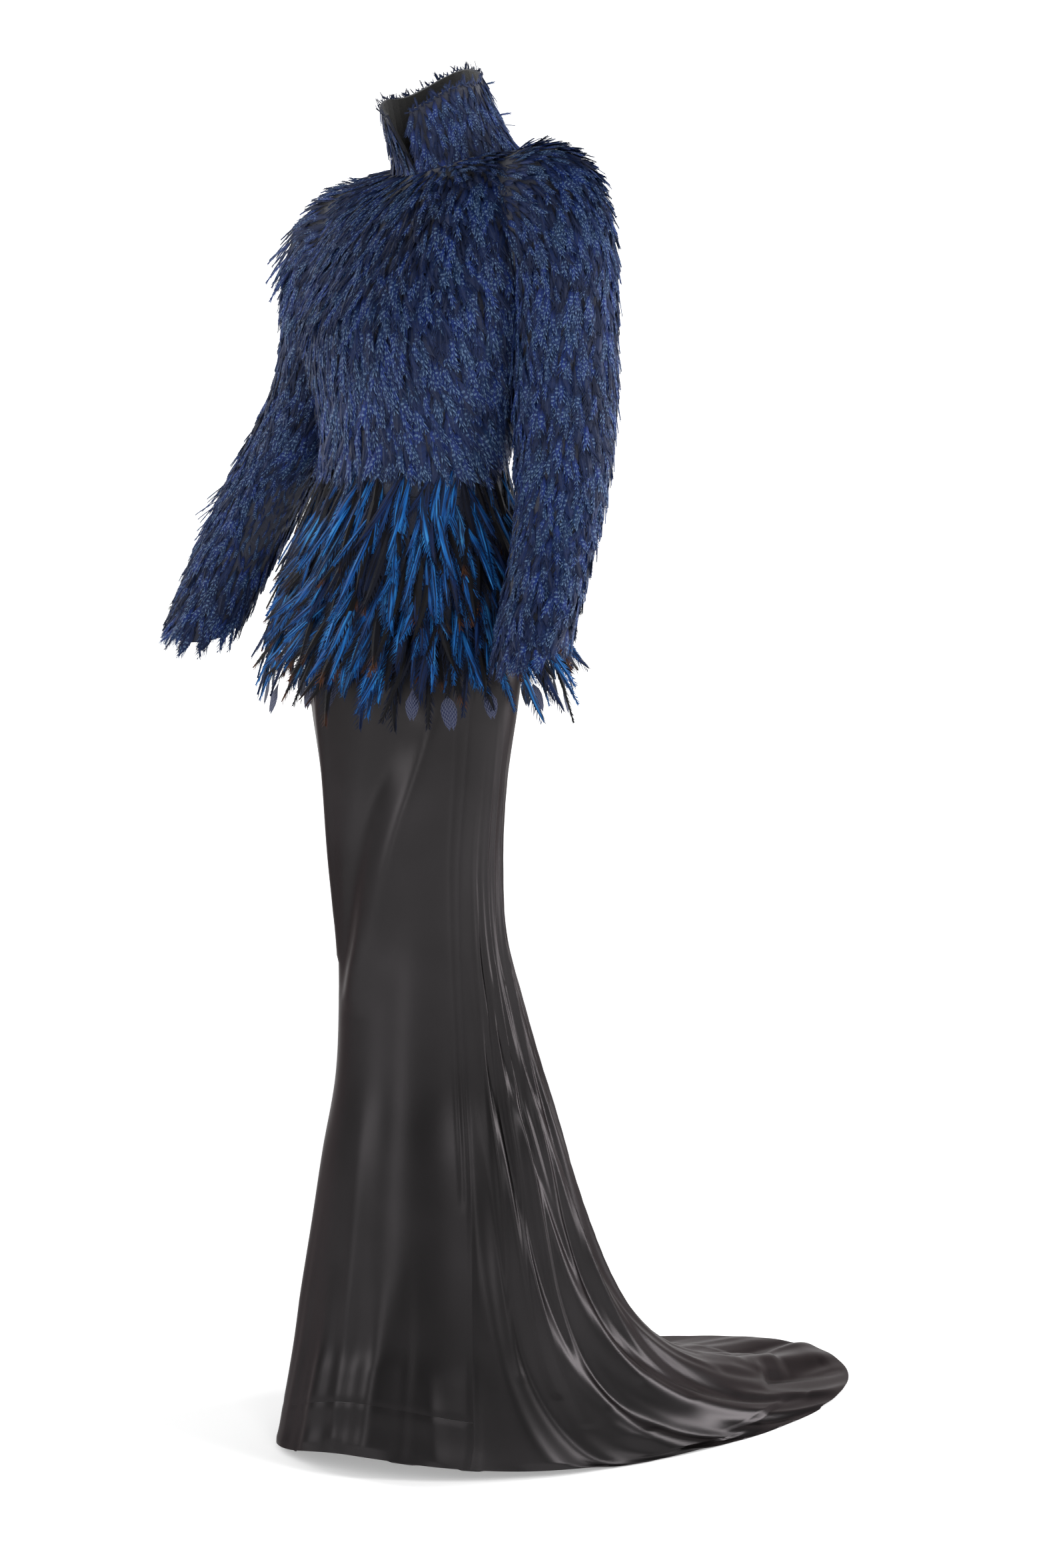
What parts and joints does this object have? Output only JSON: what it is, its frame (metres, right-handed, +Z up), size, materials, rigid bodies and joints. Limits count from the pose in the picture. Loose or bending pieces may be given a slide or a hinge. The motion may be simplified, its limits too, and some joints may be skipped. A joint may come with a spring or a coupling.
{
  "type": "feathered sheath evening dress",
  "caption": "Floor-length sheath dress: feathered bodice with stand collar and long sleeves, feather peplum, narrow black satin skirt opening into a train.",
  "frame": {"origin": "on the wearer's centre line at the height of the shoulders, where the wearer holds the dress up; the floor is 1.46 m below", "axes": "+Z up, the wearer faces -Y and the train runs to +Y, +X is the wearer's left"},
  "size_m": [0.5867, 0.8309, 1.5796],
  "materials": {
    "black_satin": "satin, soft sheen",
    "navy_feathered_cloth": "covered in small overlapping dotted feathers",
    "blue_hackle_feather": "long glossy feathers",
    "black_lining": "plain lining"
  },
  "bodies": {
    "root": {"bodice_back": "navy_feathered_cloth", "bodice_front_left": "navy_feathered_cloth", "bodice_front_right": "navy_feathered_cloth", "collar": "navy_feathered_cloth", "collar_lining": "black_lining", "feather_row_lower": "blue_hackle_feather", "feather_row_middle": "blue_hackle_feather", "feather_row_upper": "blue_hackle_feather", "peplum_left": "navy_feathered_cloth", "peplum_right": "navy_feathered_cloth", "skirt_back_left": "black_satin", "skirt_back_right": "black_satin", "skirt_front": "black_satin", "skirt_front_hem_band": "black_satin", "sleeve_left_top": "navy_feathered_cloth", "sleeve_left_under": "navy_feathered_cloth", "sleeve_right_top": "navy_feathered_cloth", "sleeve_right_under": "navy_feathered_cloth"}
  },
  "joints": []
}
